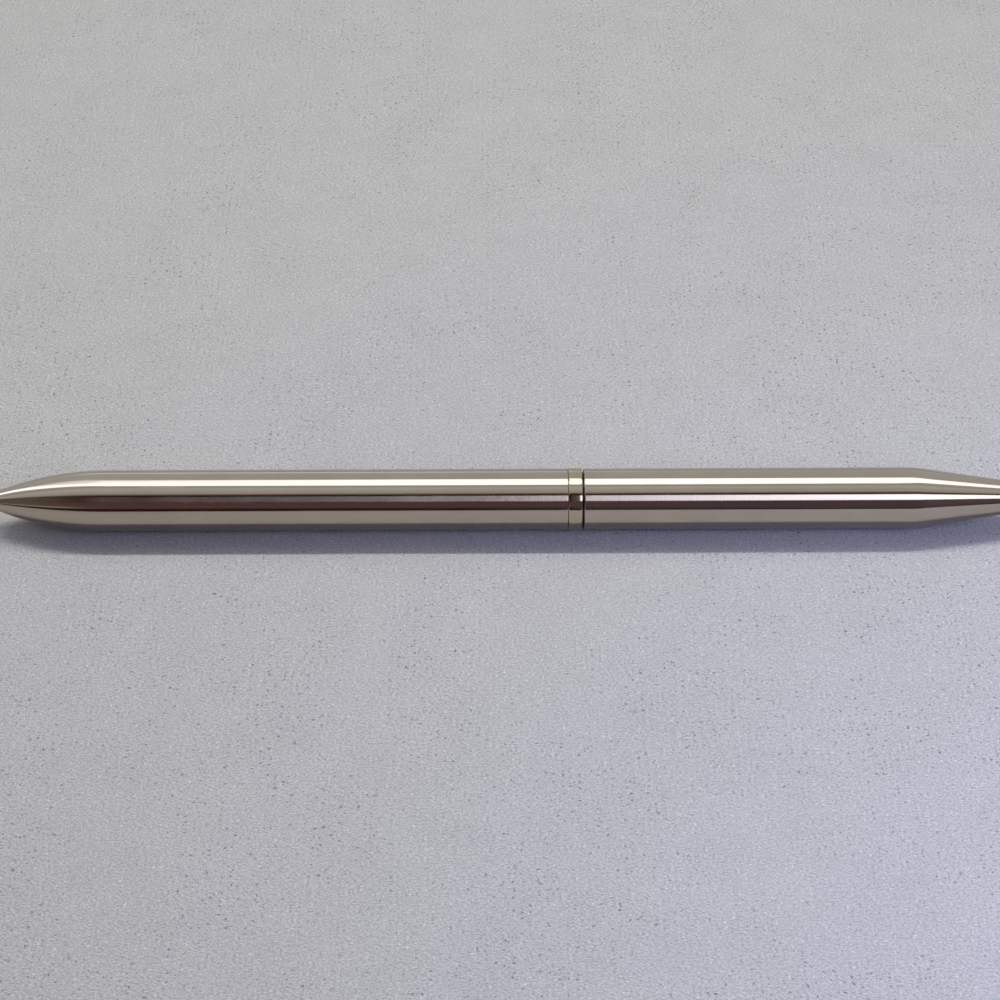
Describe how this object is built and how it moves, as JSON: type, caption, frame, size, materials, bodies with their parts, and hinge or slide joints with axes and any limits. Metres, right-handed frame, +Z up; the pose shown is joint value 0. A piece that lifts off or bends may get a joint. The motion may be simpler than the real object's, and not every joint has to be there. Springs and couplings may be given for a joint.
{
  "type": "double-ended ballpoint pen",
  "caption": "Slim double-ended twist pen: plated barrels with a rounded and a conical nose meet at a crowned centre ring, and a cam shuttle pushes out the point at either end.",
  "frame": {"origin": "on the pen's axis, halfway between the two mouths", "axes": "+X along the axis towards the short barrel's conical nose, +Z up with the pen lying flat and its drive pin upright"},
  "size_m": [0.14, 0.0082, 0.0082],
  "materials": {
    "barrel_plate": "polished warm nickel plate on brass",
    "ring_plate": "polished plate, slightly yellower than the barrels",
    "turned_brass": "turned",
    "refill_brass": "drawn tube",
    "spring_steel": "hardened, bright",
    "nickel_silver": "turned",
    "ball_metal": "lapped",
    "acetal": "moulded, natural",
    "nitrile": "moulded",
    "black_ink": "wet",
    "red_ink": "wet",
    "grease": "wet, pale amber"
  },
  "bodies": {
    "long_half": {"long_barrel": "barrel_plate", "long_nose_bush": "acetal", "centre_ring": "ring_plate", "joint_bush": "turned_brass", "friction_ring": "nitrile", "guide_anchor": "turned_brass", "guide_tube": "turned_brass"},
    "short_half": {"short_barrel": "barrel_plate", "short_nose_bush": "acetal", "drive_collar": "turned_brass", "cam_sleeve": "turned_brass", "retaining_clip": "spring_steel", "thrust_washer": "acetal"},
    "carriage": {"shuttle": "acetal", "drive_pin": "spring_steel", "black_refill_tube": "refill_brass", "black_tip": "nickel_silver", "black_ink": "black_ink", "black_grease": "grease", "red_refill_tube": "refill_brass", "red_tip": "nickel_silver", "red_ink": "red_ink", "red_grease": "grease"},
    "black_point": {"black_ball": "ball_metal"},
    "red_point": {"red_ball": "ball_metal"}
  },
  "joints": [
    {"name": "barrel_twist", "type": "hinge", "parent": "long_half", "child": "short_half", "pos_m": [0, 0, 0], "axis": [1, 0, 0], "range_deg": [-180, 180]},
    {"name": "shuttle_slide", "type": "slide", "parent": "long_half", "child": "carriage", "axis": [1, 0, 0], "range_m": [-0.0036, 0.0036]},
    {"name": "black_ball_roll", "type": "hinge", "parent": "carriage", "child": "black_point", "pos_m": [-0.0681, 0, 0], "axis": [0, 1, 0], "continuous": true},
    {"name": "red_ball_roll", "type": "hinge", "parent": "carriage", "child": "red_point", "pos_m": [0.0681, 0, 0], "axis": [0, 1, 0], "continuous": true}
  ],
  "couplings": [
    {"joint": "shuttle_slide", "follows": "barrel_twist", "m_per_rad": 0.0011459}
  ]
}
